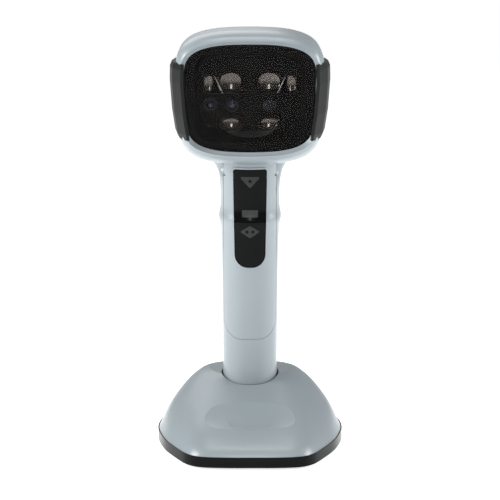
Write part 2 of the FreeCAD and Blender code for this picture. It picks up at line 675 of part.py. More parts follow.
def build_cover():
    wall = size("wall")
    moving = size("moving_gap")
    skin = handle_skin(0, -wall, cover_outline(0))
    slot = front_prism(panel_outline(moving, size("panel_top"), size("panel_bottom"), 6.6, 1.2), -60, -1)
    rim_outline = panel_outline(moving + 0.8, size("panel_top"), size("panel_bottom"), 6.6, 1.2)
    rim = handle_skin(size("rim_proud"), -0.6, rim_outline)
    panel = solid("cover_skin", skin.fuse(rim).cut(slot))
    extras = []
    holes = []
    for index, side in enumerate((-1, 1)):
        extras.append(box(f"hinge_lug_{index}", "4.6", "3.3", "3.6",
                          (f"{side} * 9.2", "0 - hinge_depth + 0.3", "hinge_height - 1.8")))
    holes.append(cylinder("pin_way", "pin_radius + shaft_gap", "40",
                          ("-20", "0 - hinge_depth", "hinge_height"), "right"))
    envelope = solid("handle_mid_wall", handle_form(-wall / 2))
    for index, rise in enumerate(("58", "73")):
        post = cylinder(f"cover_post_bar_{index}", "post_radius", "30", ("0", "5", rise), "front")
        extras.append(common(f"cover_post_{index}", post, envelope))
        holes.append(cylinder(f"cover_post_hole_{index}", "screw_radius + shaft_gap", "9",
                              ("0", "5.5", rise), "front"))
    node("handle_front_cover", cut("cover_drilled", join("cover_with_posts", [panel] + extras), holes))
    screws = [screw(f"cover_screw_{index}", ("0", "9 + screw_head", rise), "front", "11")
              for index, rise in enumerate(("58", "73"))]
    node("cover_screws", add("Part::Compound", "cover_screw_group", Links=screws))
    node("trigger_pin", cylinder("pin_rod", "pin_radius", "pin_length",
                                 ("0 - pin_length / 2", "0 - hinge_depth", "hinge_height"), "right"))


# ---------------------------------------------------------------- trigger and mode button

def build_trigger():
    proud = size("panel_proud")
    thick = size("panel_thick")
    split = size("panel_split_height")
    moving = size("moving_gap")
    outline = panel_outline(0, size("panel_top"), split + moving / 2, 1.0, 1.2)
    plate_skin = handle_skin(proud, proud - thick, outline)
    half = size("status_width / 2")
    middle = size("handle_length - status_drop")
    high = size("status_height / 2")

    def status_outline(grow):
        return rounded_outline(half + grow, half + grow, middle + high + grow, middle - high - grow,
                               0.5 + grow, 0.5 + grow)

    pane_hole = front_prism(status_outline(size("shaft_gap")), -60, -1)
    skin = solid("trigger_skin", plate_skin.cut(pane_hole))
    pane = handle_skin(proud, proud - thick, status_outline(0))
    node("status_window", solid("status_pane", pane))
    barrel = cylinder("trigger_barrel", "hinge_radius", "12.6", ("-6.3", "0 - hinge_depth", "hinge_height"),
                      "right")
    web = box("trigger_web", "11", "4.2", "2.4", ("0", "0 - hinge_depth - 2.1", "hinge_height - 1.2"))
    boss = cylinder("switch_boss", "1.6", "4.4",
                    ("0", "board_front - switch_thick - plunger_out - shaft_gap", "switch_height"), "front")
    peg = cylinder("spring_peg", "1.3", "4.0", ("0", "board_front - 5.6", "spring_height"), "front")
    bore = cylinder("trigger_pin_way", "pin_radius + shaft_gap", "20",
                    ("-10", "0 - hinge_depth", "hinge_height"), "right")
    node("scan_trigger", cut("trigger_bored", join("trigger_whole", [skin, barrel, web, boss, peg]),
                             [bore]))

    body = box("switch_case", "switch_size", "switch_thick", "switch_size",
               ("0", "board_front - switch_thick / 2", "switch_height - switch_size / 2"))
    socket = cylinder("switch_bore", "plunger_radius + shaft_gap", "2.4",
                      ("0", "board_front - switch_thick - 0.1", "switch_height"), "rear")
    node("trigger_switch", cut("switch_body", body, [socket]))
    plunger = cylinder("plunger_rod", "plunger_radius", "plunger_out + 1.4",
                       ("0", "board_front - switch_thick - plunger_out", "switch_height"), "rear")
    node("switch_plunger", plunger)

    turns = 5
    top = size("board_front") - 0.02
    run = size("spring_length")
    node("trigger_spring", build_spring(turns, top, run))

    split_top = split - moving / 2
    outline = panel_outline(0, split_top, size("panel_bottom"), 6.6, 1.0)
    skin = handle_skin(proud, proud - thick, outline)
    flange_outline = panel_outline(1.3, split_top - 1.3, size("panel_bottom") + 0.2, 6.6, 1.0)
    flange = handle_skin(-size("wall") - 0.1, -size("wall") - 1.0, flange_outline)
    inner_skin = handle_skin(proud - thick + 0.1, -size("wall") - 1.0,
                             panel_outline(-0.8, split_top, size("panel_bottom"), 5.6, 0.6))
    key = solid("button_skin", skin.fuse(inner_skin).fuse(flange))
    stem = cylinder("button_stem", "dome_tip", "7",
                    ("0", "board_front - 2.4 - shaft_gap", "button_post_height"), "front")
    node("mode_button", join("button_whole", [key, stem]))
    node("button_dome", cone("dome_cone", "dome_radius", "dome_tip", "2.4",
                             ("0", "board_front", "button_post_height"), "front"))


def build_spring(turns, start, run):
    """A compression coil whose axis runs front to back, its ends ground flat."""
    radius = size("spring_radius")
    wire = size("spring_wire") / 2
    helix = Part.makeHelix((run - 2 * wire) / turns, run - 2 * wire, radius)
    ring = Part.Wire([Part.makeCircle(wire, Vector(radius, 0, 0), Vector(0, 1, 0))])
    coil = Part.Wire(helix.Edges).makePipeShell([ring], True, True)
    coil.rotate(Vector(0, 0, 0), Vector(1, 0, 0), 90)
    coil.translate(Vector(0, start - wire, size("spring_height")))
    return solid("coil", Part.makeCompound([coil]))


def build_handle_board():
    middle = "handle_length - handle_board_drop - handle_board_length / 2"
    holes = [("screw_radius + fit_gap", "6", f"handle_length - {drop}") for drop in ("10", "54")]
    board = plate("switch_board", "handle_board_width", "handle_board_length", "board_thick",
                  ("0", "board_front", middle), holes=holes)
    node("handle_board", board)
    node("status_led", box("status_lamp", "2", "1", "1.6",
                           ("0", "board_front - 0.5", "handle_length - status_drop - 0.8")))
    top = size("head_centre - main_board_height / 2")
    low = size("handle_length - handle_board_drop")
    deep = size("main_board_back")
    near = size("board_back")
    thin = 0.35
    path = [(deep + 0.1, top + 6), (deep + 0.1, top - 3), (near + 0.1 + 3.0, low + 3),
            (near + 0.1, low - 2), (near + 0.1, low - 12)]
    back = [(y + thin, z) for y, z in reversed(path)]
    outline = [Vector(-3, y, z) for y, z in path + back]
    ribbon = Part.Face(Part.makePolygon(outline + [outline[0]])).extrude(Vector(6, 0, 0))
    node("flex_cable", solid("ribbon", ribbon))


# a bumper's levels: share of its half height, share of its full section, how far its outside stands in
BUMPER_LEVELS = [(-1.0, 0.86, 3.0), (-0.84, 1.0, 2.5), (-0.3, 1.0, 1.0), (0.5, 1.0, 0.0), (0.86, 1.0, 0.2),
                 (1.0, 0.86, 0.6)]


def bumper_form(side, grow):
    """The outer form of a side bumper, which wraps from the head's side to the window's edge."""
    out = size("bumper_reach")
    tall = size("bumper_height / 2") + grow
    middle = window_centre - 1.5
    lip = window_half + 0.2
    facets = [(head_half - 3.5, seam + 5.5), (head_half + out * 0.5, seam + 3.0),
              (head_half + out, seam - 4.0), (head_half + out * 0.55, seam - 13.0),
              (lip + 1.6, front - 2.0), (lip, front - 1.7), (lip, front + 1.4)]
    centre = Vector(side * (head_half - 2.0), seam - 9.0, 0)
    rings = []
    for rise, share, inset in BUMPER_LEVELS:
        points = []
        for x, y in facets:
            flat = Vector(side * x, y, 0)
            corner = centre + (flat - centre) * (share + grow / 8.0)
            points.append(Vector(corner.x - side * inset, corner.y, middle + rise * tall))
        rings.append(Part.makePolygon(points + [points[0]]))
    return Part.makeLoft(rings, True, True, False)


def bumper_core(sink):
    """The head's form under the bumpers, sunk below its surface."""
    return bezel_form(sink, front - 5, seam).fuse(housing_form(sink))


def bumper_pocket(side):
    """What a bumper's seat takes from the head's wall."""
    return bumper_form(side, size("fit_gap")).cut(bumper_core(size("bumper_sink + fit_gap")))


def build_bumper(name, side):
    """A side bumper: upright facets outside, and the head's own curve inside."""
    pieces = bumper_form(side, 0).cut(bumper_core(size("bumper_sink"))).Solids
    node(name, solid(name + "_form", max(pieces, key=lambda piece: piece.Volume)))


# ---------------------------------------------------------------- base

# the base's plan from the front round to the back, each point a share of the half width and half depth
BASE_PLAN = [(0.0, -1.0), (0.2, -1.0), (0.38, -0.992), (0.54, -0.96), (0.66, -0.87), (0.73, -0.76),
             (0.82, -0.59), (0.90, -0.41), (0.96, -0.2), (0.995, 0.0), (0.99, 0.22), (0.93, 0.48),
             (0.78, 0.74), (0.52, 0.92), (0.26, 0.985), (0.0, 1.0)]
# share of the height above the band, side inset, front inset, rear inset
BASE_RINGS = [(0.0, 0.6, 0.4, 0.6), (0.124, 2.4, 3.0, 1.0), (0.343, 5.5, 12.5, 2.5), (0.6, 11.0, 30.0, 5.0),
              (0.82, 17.3, 47.0, 9.0), (0.96, 23.0, 57.0, 13.0), (1.0, 27.0, 61.0, 17.0)]


def base_ring(height, side, ahead, behind):
    """A level outline of the base, drawn in from its largest plan."""
    half = size("base_width / 2") - side
    fore = -size("base_depth / 2") + ahead
    aft = size("base_depth / 2") - behind
    middle = (fore + aft) / 2
    reach = (aft - fore) / 2
    right = [Vector(half * x, middle + reach * y, height) for x, y in BASE_PLAN]
    left = [Vector(-point.x, point.y, height) for point in reversed(right[1:-1])]
    curve = Part.BSplineCurve()
    curve.interpolate(right + left, PeriodicFlag=True)
    return Part.Wire([curve.toShape()])


def base_form(inset, bottom, top):
    rings = []
    for share, side, ahead, behind in BASE_RINGS:
        rings.append(base_ring(bottom + share * (top - bottom), side + inset, ahead + inset,
                               behind + inset))
    return loft(rings)


def scoop_form():
    """The finger scoop on the front slope: a shallow oval dish with a deeper trapezoid in its middle."""
    rear_y = size("scoop_setback - base_depth / 2")
    front_y = rear_y - size("scoop_run")
    rear_z = size("base_height - scoop_drop")
    slope = size("scoop_slope")
    front_z = rear_z - (rear_y - front_y) * math.tan(math.radians(slope))
    depth = size("scoop_depth")
    wide = size("scoop_width / 2")
    narrow = size("scoop_foot_width / 2")

    def quad(half_rear, half_front, y_rear, y_front, z_rear, z_front):
        corners = [Vector(-half_rear, y_rear, z_rear), Vector(half_rear, y_rear, z_rear),
                   Vector(half_front, y_front, z_front), Vector(-half_front, y_front, z_front)]
        return Part.makePolygon(corners + [corners[0]])

    floor = quad(wide, narrow, rear_y, front_y, rear_z, front_z - depth)
    mouth = quad(wide + 3, narrow + 3, rear_y + 3, front_y - 1.2, rear_z + 5, front_z + 5)
    wedge = Part.makeLoft([floor, mouth], True, True, False)
    dish = Part.makeSphere(1.0)
    stretch = FreeCAD.Matrix()
    stretch.scale(size("dish_width / 2") * 1.35, size("dish_run / 2") * 1.35, 3.0)
    dish = dish.transformGeometry(stretch)
    dish.rotate(Vector(0, 0, 0), Vector(1, 0, 0), slope)
    middle = Vector(0, (rear_y + front_y) / 2 - 1.0, (rear_z + front_z) / 2 - 0.4)
    dish.translate(middle + Vector(0, -math.sin(math.radians(slope)), math.cos(math.radians(slope))) * 2.0)
    return wedge.fuse(dish)


def level_prism(inset, bottom, top):
    return Part.Face(base_ring(bottom, inset, inset, inset)).extrude(Vector(0, 0, top - bottom))


def lean(shape):
    """A copy of a shape, moved from the handle's frame to the base's."""
    moved = shape.copy()
    turn = FreeCAD.Rotation(Vector(1, 0, 0), size("lean_angle"))
    moved.Placement = FreeCAD.Placement(Vector(0, size("foot_setback"), size("foot_height")), turn)
    return moved


BASE_SCREWS = [("0 - base_width * 0.3", "0 - base_depth * 0.33"),
               ("base_width * 0.3", "0 - base_depth * 0.33"),
               ("0 - base_width * 0.32", "base_depth * 0.27"), ("base_width * 0.32", "base_depth * 0.27")]
FOOT_PADS = [("0 - base_width * 0.19", "0 - base_depth * 0.39"),
             ("base_width * 0.19", "0 - base_depth * 0.39"),
             ("0 - base_width * 0.36", "base_depth * 0.08"), ("base_width * 0.36", "base_depth * 0.08"),
             ("0 - base_width * 0.2", "base_depth * 0.38"), ("base_width * 0.2", "base_depth * 0.38")]
SOCKET_SCREWS = [("-8", "18"), ("8", "18")]


def build_base():
    gap = size("fit_gap")
    bottom = size("shell_bottom")
    top = size("base_height")
    wall = size("base_wall")
    floor = size("foot_pad_thick")
    outer = base_form(0, bottom, top)
    inner = base_form(wall, bottom - 0.5, top - wall)
    well = lean(handle_form(size("well_gap"), 8.0))
    jack_way = "jack_mouth_width + 2"
    shell = solid("base_skin", outer.cut(inner).cut(well).cut(scoop_form()))
    bosses = []
    holes = [box("jack_window", jack_way, "30", "jack_mouth_height + 2",
                 ("0", "base_depth / 2", "jack_floor + (jack_height - jack_mouth_height) / 2 - 1"))]
    for index, (x, y) in enumerate(BASE_SCREWS):
        boss = cylinder(f"base_boss_bar_{index}", "boss_radius", "40", (x, y, "plate_top"))
        bosses.append(common(f"base_boss_{index}", boss,
                             solid(f"base_boss_room_{index}",
                                   base_form(0.5, size("plate_top") - 0.01, top - 0.5))))
        holes.append(cylinder(f"base_boss_hole_{index}", "screw_radius + shaft_gap", "9",
                              (x, y, "plate_top - 1")))
    node("base_shell", cut("base_shell_cut", join("base_with_bosses", [shell] + bosses), holes),
         leaning=False)

    band = level_prism(0, floor, bottom).cut(level_prism(2.4, floor - 1, bottom + 1))
    node("trim_band", solid("band_ring", band), leaning=False)

    plate_solid = solid("plate_form", level_prism(2.4 + gap, floor, size("plate_top")))
    sinks = []
    for index, (x, y) in enumerate(BASE_SCREWS):
        sinks.append(cylinder(f"plate_sink_{index}", "screw_head_radius + fit_gap", "screw_head + 0.1",
                              (x, y, "foot_pad_thick")))
        sinks.append(cylinder(f"plate_hole_{index}", "screw_radius + fit_gap", "20", (x, y, "0")))
    for index, (x, y) in enumerate(SOCKET_SCREWS):
        sinks.append(cylinder(f"socket_sink_{index}", "screw_head_radius + fit_gap", "screw_head + 0.1",
                              (x, y, "foot_pad_thick")))
        sinks.append(cylinder(f"socket_hole_{index}", "screw_radius + fit_gap", "20", (x, y, "0")))
    node("base_plate", cut("plate_drilled", plate_solid, sinks), leaning=False)
    screws = [screw(f"base_screw_{index}", (x, y, "foot_pad_thick + 0.1"), "up", "8")
              for index, (x, y) in enumerate(BASE_SCREWS)]
    screws += [screw(f"socket_screw_{index}", (x, y, "foot_pad_thick + 0.1"), "up", "4")
               for index, (x, y) in enumerate(SOCKET_SCREWS)]
    node("base_screws", add("Part::Compound", "base_screw_group", Links=screws), leaning=False)
    pads = [cylinder(f"foot_pad_{index}", "foot_pad_radius", "foot_pad_thick", (x, y, "0"))
            for index, (x, y) in enumerate(FOOT_PADS)]
    node("rubber_feet", add("Part::Compound", "foot_pad_group", Links=pads), leaning=False)

    plate_top = size("plate_top")
    tall = size("socket_height")
    collar = lean(handle_form(size("socket_wall") + gap, -12.0, tall).cut(handle_form(gap, -gap, tall + 5)))
    room = Part.makeBox(200, 200, 60, Vector(-100, -100, plate_top))
    socket = solid("socket_form", collar.common(room))
    pilot = [cylinder(f"socket_pilot_{index}", "screw_radius + shaft_gap", "4.2", (x, y, "plate_top - 1"))
             for index, (x, y) in enumerate(SOCKET_SCREWS)]
    node("handle_socket", cut("socket_drilled", socket, pilot), leaning=False)
    node("ballast_weight",
         box("ballast_block", "ballast_width", "ballast_depth", "ballast_height",
             ("0", "0 - base_depth / 2 + ballast_setback + ballast_depth / 2", "plate_top")), leaning=False)

    body = box("jack_body", "jack_width", "jack_depth", "jack_height",
               ("0", "jack_face - jack_depth / 2", "jack_floor"))
    mouth = box("jack_mouth", "jack_mouth_width", "jack_mouth_depth + 1", "jack_mouth_height",
                ("0", "jack_face - jack_mouth_depth / 2 + 0.5",
                 "jack_floor + (jack_height - jack_mouth_height) / 2"))
    node("cable_jack", cut("jack_bored", body, [mouth]), leaning=False)


build_bezel()
build_window()
build_chassis()
build_optics()
build_main_board()
build_rear_housing()
build_cover()
build_trigger()
build_handle_board()
build_bumper("bumper_left", -1)
build_bumper("bumper_right", 1)
build_base()

document.recompute()
faults = []
for thing in document.Objects:
    if "Invalid" in thing.State or "Error" in thing.State:
        faults.append(f"{thing.Name} failed")
for name, thing in nodes.items():
    shape = thing.Shape
    if shape.isNull() or not shape.isValid() or not shape.Solids:
        faults.append(f"{name} has no valid solid")
if faults:
    raise RuntimeError("; ".join(faults))

os.makedirs("parts", exist_ok=True)
for name, thing in nodes.items():
    thing.Shape.exportStep(f"parts/{name}.step")
    print(f"{name}: {len(thing.Shape.Solids)} solid(s), {thing.Shape.Volume:.1f} cubic mm")
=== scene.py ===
import bpy
import json
import math
from mathutils import Matrix, Vector


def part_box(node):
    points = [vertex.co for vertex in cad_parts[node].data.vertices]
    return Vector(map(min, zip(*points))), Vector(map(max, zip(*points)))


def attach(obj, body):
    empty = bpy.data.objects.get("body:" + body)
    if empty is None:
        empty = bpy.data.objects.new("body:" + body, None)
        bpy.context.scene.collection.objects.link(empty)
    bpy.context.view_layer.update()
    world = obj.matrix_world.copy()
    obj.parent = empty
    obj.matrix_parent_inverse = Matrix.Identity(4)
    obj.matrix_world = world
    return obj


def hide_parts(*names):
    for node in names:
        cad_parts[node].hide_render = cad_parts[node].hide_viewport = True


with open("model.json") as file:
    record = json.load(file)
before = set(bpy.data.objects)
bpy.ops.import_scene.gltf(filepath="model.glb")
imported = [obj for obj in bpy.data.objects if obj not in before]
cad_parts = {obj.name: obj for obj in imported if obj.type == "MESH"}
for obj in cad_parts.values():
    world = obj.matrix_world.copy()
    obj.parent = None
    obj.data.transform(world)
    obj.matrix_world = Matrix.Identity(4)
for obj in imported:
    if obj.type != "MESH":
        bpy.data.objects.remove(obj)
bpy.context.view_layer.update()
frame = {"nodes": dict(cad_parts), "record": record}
nodes = frame["nodes"]
mm = 0.001


class Signal:  # a socket whose operators add Math nodes
    def __init__(self, surface, socket):
        self.surface = surface
        self.socket = socket

    def combine(self, operation, first, second):
        return self.surface.add("ShaderNodeMath", {"operation": operation}, {0: first, 1: second})

    def __add__(self, other):
        return self.combine("ADD", self, other)

    def __mul__(self, other):
        return self.combine("MULTIPLY", self, other)


class Surface:  # a Principled material, with its constants on the shader's own sockets
    def __init__(self, name, constants):
        self.material = bpy.data.materials.new(name)
        self.material.use_nodes = True
        self.tree = self.material.node_tree
        self.shader = self.tree.nodes["Principled BSDF"]
        for socket, value in constants.items():
            self.shader.inputs[socket].default_value = value

    def add(self, kind, settings=None, inputs=None, output=0):
        node = self.tree.nodes.new(kind)
        for key, value in (settings or {}).items():
            setattr(node, key, value)
        for key, value in (inputs or {}).items():
            self.plug(value, node.inputs[key])
        return Signal(self, node.outputs[output])

    def plug(self, value, socket):
        if isinstance(value, Signal):
            self.tree.links.new(value.socket, socket)
        else:
            socket.default_value = value

    def feed(self, socket, value):
        self.plug(value, self.shader.inputs[socket])

    def coordinates(self):
        return self.add("ShaderNodeTexCoord", output="Object")

    def noise(self, scale, detail):
        return self.add("ShaderNodeTexNoise", {}, {"Vector": self.coordinates(), "Scale": scale,
                                                   "Detail": detail, "Roughness": 0.6})

    def mixColour(self, factor, low, high):
        return self.add("ShaderNodeMix", {"data_type": "RGBA"}, {0: factor, 6: low, 7: high}, output=2)

    def bump(self, height, strength, distance):
        self.feed("Normal", self.add("ShaderNodeBump", {}, {"Height": height, "Strength": strength,
                                                            "Distance": distance}))


def tone(red, green, blue):
    return (red, green, blue, 1.0)


shellSettings = {
    "shader": {"IOR": 1.5, "Coat Roughness": 0.2, "Coat Weight": 0.15},
    "pale": tone(0.240, 0.276, 0.294),
    "deep": tone(0.220, 0.255, 0.273),
    "cloud": (22.0, 3.0),            # scale, detail
    "grain": (2600.0, 2.0),
    "cloudRoughness": 0.08,
    "grainRoughness": 0.05,
    "leastRoughness": 0.265,
    "bump": (0.12, 0.00004),         # strength, depth
}


def paintShellPlastic():
    s = shellSettings
    surface = Surface("shellPlastic", s["shader"])
    cloud = surface.noise(*s["cloud"])
    grain = surface.noise(*s["grain"])
    surface.feed("Base Color", surface.mixColour(cloud, s["deep"], s["pale"]))
    surface.feed("Roughness", cloud * s["cloudRoughness"] + grain * s["grainRoughness"] + s["leastRoughness"])
    surface.bump(grain, *s["bump"])
    return surface.material


dullBlackSettings = {
    "shader": {"IOR": 1.46, "Specular IOR Level": 0.15},
    "pale": tone(0.009, 0.009, 0.0095),
    "deep": tone(0.004, 0.0042, 0.0042),
    "cloud": (45.0, 3.0),
    "grain": (2600.0, 3.0),
    "grainRoughness": 0.15,
    "leastRoughness": 0.42,
    "bump": (0.12, 0.00004),
}


def paintDullBlack():
    s = dullBlackSettings
    surface = Surface("dullBlackPlastic", s["shader"])
    grain = surface.noise(*s["grain"])
    surface.feed("Base Color", surface.mixColour(surface.noise(*s["cloud"]), s["deep"], s["pale"]))
    surface.feed("Roughness", grain * s["grainRoughness"] + s["leastRoughness"])
    surface.bump(grain, *s["bump"])
    return surface.material


circuitSettings = {
    "mask": tone(0.008, 0.055, 0.026),
    "track": tone(0.020, 0.11, 0.05),
    "trackScale": 160.0,
    "trackWidth": 0.04,
    "stagger": 0.37,
    "weave": (700.0, 2.0),
    "weaveRoughness": 0.15,
    "leastRoughness": 0.3,
    "bump": (0.3, 0.00003),
}


def paintCircuitBoard():
    s = circuitSettings
    surface = Surface("circuitBoard", {"IOR": 1.5})
    tracks = surface.add("ShaderNodeTexBrick", {"offset": s["stagger"]}, {
        "Vector": surface.coordinates(), "Scale": s["trackScale"], "Mortar Size": s["trackWidth"],
        "Color1": tone(0, 0, 0), "Color2": tone(0, 0, 0), "Mortar": tone(1, 1, 1)})
    surface.feed("Base Color", surface.mixColour(tracks, s["mask"], s["track"]))
    surface.feed("Roughness", surface.noise(*s["weave"]) * s["weaveRoughness"] + s["leastRoughness"])
    surface.bump(tracks, *s["bump"])
    return surface.material


flexSettings = {
    "film": tone(0.30, 0.12, 0.02),
    "line": tone(0.55, 0.28, 0.07),
    "lineScale": 500.0,
    "lineRoughness": 0.1,
    "leastRoughness": 0.3,
}


def paintFlexFilm():
    s = flexSettings
    surface = Surface("flexFilm", {"IOR": 1.5})
    lines = surface.add("ShaderNodeTexWave", {"bands_direction": "X"}, {
        "Vector": surface.coordinates(), "Scale": s["lineScale"], "Distortion": 0.0}, output="Fac")
    surface.feed("Base Color", surface.mixColour(lines, s["film"], s["line"]))
    surface.feed("Roughness", lines * s["lineRoughness"] + s["leastRoughness"])
    return surface.material


def paint(name, s):  # colour and roughness follow a soft cloud, and a fine grain raises the surface
    surface = Surface(name, s["shader"])
    cloud = surface.noise(*s["cloud"])
    surface.feed("Base Color", surface.mixColour(cloud, s["deep"], s["pale"]))
    surface.feed("Roughness", cloud * s["roughness"][0] + s["roughness"][1])
    if "alpha" in s:
        surface.feed("Alpha", cloud * s["alpha"][0] + s["alpha"][1])
    if "grain" in s:
        surface.bump(surface.noise(*s["grain"]), *s["bump"])
    return surface.material


def metal(deep, pale, least, scale):
    return {"shader": {"Metallic": 1.0}, "cloud": (scale, 4.0), "deep": deep, "pale": pale,
            "roughness": (0.15, least), "grain": (scale, 4.0), "bump": (0.12, 0.00003)}


def blackGloss(least):
    return {"shader": {"IOR": 1.5, "Specular IOR Level": 0.07}, "cloud": (60.0, 5.0),
            "deep": tone(0.0015, 0.0018, 0.0018), "pale": tone(0.0035, 0.004, 0.004),
            "roughness": (0.10, least), "grain": (2200.0, 2.0), "bump": (0.05, 0.00002)}


def clearResin(deep, alpha):
    return {"shader": {"IOR": 1.5}, "cloud": (200.0, 3.0), "deep": deep, "pale": tone(0.16, 0.18, 0.21),
            "roughness": (0.08, 0.08), "alpha": (0.1, alpha)}


plainFinishes = {  # cloud, grain: scale, detail; roughness, alpha: gain, least; bump: strength, depth
    "bumperRubber": {
        "shader": {"IOR": 1.45, "Specular IOR Level": 0.16}, "cloud": (90.0, 5.0),
        "deep": tone(0.005, 0.0055, 0.0055), "pale": tone(0.011, 0.0115, 0.0115),
        "roughness": (0.12, 0.42), "grain": (1500.0, 3.0), "bump": (0.25, 0.00008),
    },
    "darkMirror": {
        "shader": {"Metallic": 1.0}, "cloud": (120.0, 4.0),
        "deep": tone(0.26, 0.23, 0.205), "pale": tone(0.36, 0.325, 0.295), "roughness": (0.08, 0.11),
    },
    "smokedWindow": {
        "shader": {"IOR": 1.49, "Specular IOR Level": 0.10}, "cloud": (30.0, 4.0),
        "deep": tone(0.0016, 0.0013, 0.0012), "pale": tone(0.003, 0.0025, 0.0022),
        "roughness": (0.03, 0.02), "alpha": (0.04, 0.30),
    },
    "ledPackage": {
        "shader": {"IOR": 1.5}, "cloud": (900.0, 2.0),
        "deep": tone(0.74, 0.72, 0.60), "pale": tone(0.86, 0.85, 0.76), "roughness": (0.1, 0.35),
    },
    "statusLens": {
        "shader": {"IOR": 1.5, "Specular IOR Level": 0.2}, "cloud": (400.0, 3.0),
        "deep": tone(0.022, 0.025, 0.024), "pale": tone(0.034, 0.038, 0.037), "roughness": (0.08, 0.3),
    },
    "ballastPaint": {
        "shader": {"IOR": 1.45}, "cloud": (260.0, 6.0),
        "deep": tone(0.03, 0.03, 0.032), "pale": tone(0.07, 0.07, 0.07),
        "roughness": (0.2, 0.5), "grain": (260.0, 6.0), "bump": (0.6, 0.0004),
    },
    "printedGrey": {
        "shader": {"IOR": 1.5, "Specular IOR Level": 0.15}, "cloud": (500.0, 3.0),
        "deep": tone(0.018, 0.021, 0.020), "pale": tone(0.027, 0.031, 0.030), "roughness": (0.1, 0.38),
    },
    "coatedLens": {
        "shader": {"IOR": 1.7, "Coat Weight": 1.0, "Coat Roughness": 0.03}, "cloud": (300.0, 2.0),
        "deep": tone(0.008, 0.014, 0.045), "pale": tone(0.02, 0.04, 0.11), "roughness": (0.05, 0.03),
    },
    "sillRampPlastic": {
        "shader": {"IOR": 1.5}, "cloud": (140.0, 4.0),
        "deep": tone(0.050, 0.066, 0.070), "pale": tone(0.085, 0.105, 0.110), "roughness": (0.15, 0.28),
    },
    "glossBlackPlastic": blackGloss(0.11),
    "printedBlack": blackGloss(0.25),
    "blackAnodised": metal(tone(0.03, 0.03, 0.032), tone(0.05, 0.05, 0.052), 0.33, 800.0),
    "zincPlate": metal(tone(0.50, 0.50, 0.47), tone(0.66, 0.66, 0.62), 0.28, 900.0),
    "tinPlate": metal(tone(0.55, 0.56, 0.57), tone(0.68, 0.69, 0.70), 0.23, 600.0),
    "contactGold": metal(tone(0.72, 0.50, 0.18), tone(0.85, 0.62, 0.26), 0.21, 700.0),
    "brightChrome": metal(tone(0.72, 0.70, 0.66), tone(0.86, 0.84, 0.80), 0.09, 500.0),
    "clearLens": clearResin(tone(0.05, 0.065, 0.08), 0.6),
    "siliconeDome": clearResin(tone(0.6, 0.62, 0.64), 0.8),
}
painted = {name: paint(name, settings) for name, settings in plainFinishes.items()}
finishes = {                         # the record's material slots
    "shell_grey": paintShellPlastic(),
    "smoked_window": painted["smokedWindow"],
    "black_rubber": painted["bumperRubber"],
    "black_plastic": paintDullBlack(),
    "black_gloss": painted["glossBlackPlastic"],
    "dark_mirror": painted["darkMirror"],
    "circuit_board": paintCircuitBoard(),
    "led_package": painted["ledPackage"],
    "black_metal": painted["blackAnodised"],
    "clear_plastic": painted["clearLens"],
    "zinc_steel": painted["zincPlate"],
    "tinned_steel": painted["tinPlate"],
    "status_lens": painted["statusLens"],
    "clear_rubber": painted["siliconeDome"],
    "flex_film": paintFlexFilm(),
    "ballast_iron": painted["ballastPaint"],
}
for part in frame["record"]["subparts"]:
    mesh = nodes[part["node"]].data
    mesh.materials.clear()
    mesh.materials.append(finishes[part["material_slot"]])
print("finishes on", len(nodes), "nodes")

stemSettings = {"foot": (0.0, 16 * mm, 8 * mm), "leanDegrees": 6.0}
stemFrame = (Matrix.Translation(stemSettings["foot"])
             @ Matrix.Rotation(math.radians(stemSettings["leanDegrees"]), 4, "X"))


def stemSpan(name):  # a node's lowest and highest corners in the upright frame of the head and handle
    back = stemFrame.inverted()
    spots = [back @ vertex.co for vertex in nodes[name].data.vertices]
    low = Vector([min(spot[axis] for spot in spots) for axis in range(3)])
    high = Vector([max(spot[axis] for spot in spots) for axis in range(3)])
    return low, high


smoothAngle = math.radians(35)       # a sharper edge than this stays sharp


def pickOnly(piece):
    bpy.ops.object.select_all(action="DESELECT")
    piece.select_set(True)
    bpy.context.view_layer.objects.active = piece


def startPiece(name, shape, scale=(1.0, 1.0, 1.0), **settings):  # a primitive, its place put into its mesh
    bpy.ops.object.select_all(action="DESELECT")
    shape(**settings)
    piece = bpy.context.object
    piece.scale = scale
    piece.name = name
    piece.data.name = name
    bpy.ops.object.transform_apply(location=True, rotation=True, scale=True)
    return piece


def applied(piece, kind, **settings):
    modifier = piece.modifiers.new("step", kind)
    for key, value in settings.items():
        setattr(modifier, key, value)
    pickOnly(piece)
    bpy.ops.object.modifier_apply(modifier=modifier.name)


def bevelAll(piece, width, segments=2):
    pickOnly(piece)
    bpy.ops.object.mode_set(mode="EDIT")
    bpy.ops.mesh.select_all(action="SELECT")
    bpy.ops.mesh.bevel(offset=width, segments=segments, affect="EDGES")
    bpy.ops.object.mode_set(mode="OBJECT")


def selectFaces(piece, keep):  # select, in edit mode, the faces whose centre and normal pass a test
    bpy.ops.object.mode_set(mode="EDIT")
    bpy.ops.mesh.select_mode(type="FACE")
    bpy.ops.mesh.select_all(action="DESELECT")
    bpy.ops.object.mode_set(mode="OBJECT")
    for face in piece.data.polygons:
        face.select = keep(face.center, face.normal)
    bpy.ops.object.mode_set(mode="EDIT")


def finishPiece(piece, finish, body):
    pickOnly(piece)
    bpy.ops.object.transform_apply(location=True, rotation=True, scale=True)
    bpy.ops.object.shade_smooth_by_angle(angle=smoothAngle)
    piece.data.materials.clear()
    piece.data.materials.append(finish)
    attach(piece, body)


def lean(piece):
    piece.matrix_world = stemFrame @ piece.matrix_world


